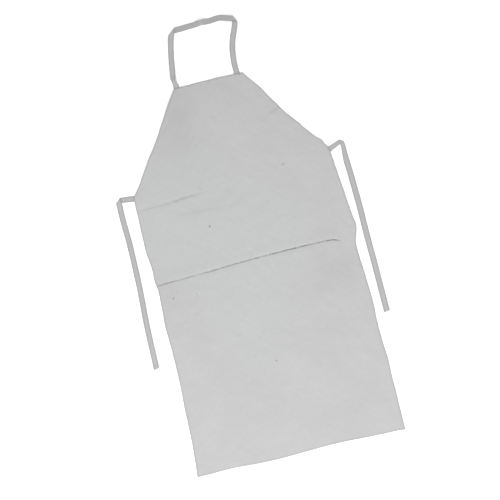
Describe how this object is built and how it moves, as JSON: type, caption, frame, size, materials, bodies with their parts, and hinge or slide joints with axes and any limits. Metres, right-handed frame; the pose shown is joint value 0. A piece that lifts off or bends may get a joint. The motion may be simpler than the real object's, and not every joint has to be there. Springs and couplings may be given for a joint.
{
  "type": "butcher apron",
  "caption": "Bib apron of one leather sheet lying flat, with a sewn-on neck strap, folded waist ties and a pressed fold across the middle.",
  "frame": {"origin": "bottom centre of the whole object as it lies flat, in the plane that it rests on", "axes": "+X to the right as seen from the front, +Y along the length from hem to bib, +Z out of the front face"},
  "size_m": [0.6892, 1.2654, 0.004],
  "materials": {
    "sheet_leather": "smooth pale grey chrome split, faintly mottled, raw cut edge",
    "strap_leather": "the same leather cut in strips, a little darker and with a fibrous back",
    "thread": "matt twisted sewing thread"
  },
  "bodies": {
    "bib": {"bib_panel": "sheet_leather", "neck_strap_left_tail": "strap_leather", "neck_strap_right_tail": "strap_leather", "left_tie_sewn_end": "strap_leather", "right_tie_sewn_end": "strap_leather", "bib_left_stitching": "thread", "bib_right_stitching": "thread", "waist_left_stitching": "thread", "waist_right_stitching": "thread"},
    "skirt": {"skirt_panel": "sheet_leather"},
    "neck_loop": {"neck_strap_left_run": "strap_leather", "neck_strap_top_run": "strap_leather", "neck_strap_right_run": "strap_leather"},
    "left_tie": {"left_tie_free_run": "strap_leather"},
    "right_tie": {"right_tie_free_run": "strap_leather"}
  },
  "joints": [
    {"name": "skirt_fold", "type": "hinge", "parent": "bib", "child": "skirt", "pos_m": [0.0026, -0.06373, 0.0016], "axis": [-1, 0, 0], "range_deg": [0, 170]},
    {"name": "neck_loop_fold", "type": "hinge", "parent": "bib", "child": "neck_loop", "pos_m": [0.0026, 0.46127, 0.0035], "axis": [1, 0, 0], "range_deg": [0, 170]},
    {"name": "left_tie_unfold", "type": "hinge", "parent": "bib", "child": "left_tie", "pos_m": [-0.32708, 0.19168, 0.00175], "axis": [-0.7513, -0.66, 0], "range_deg": [0, 180]},
    {"name": "right_tie_unfold", "type": "hinge", "parent": "bib", "child": "right_tie", "pos_m": [0.32858, 0.20463, 0.00175], "axis": [-0.829, 0.5592, 0], "range_deg": [0, 180]}
  ]
}
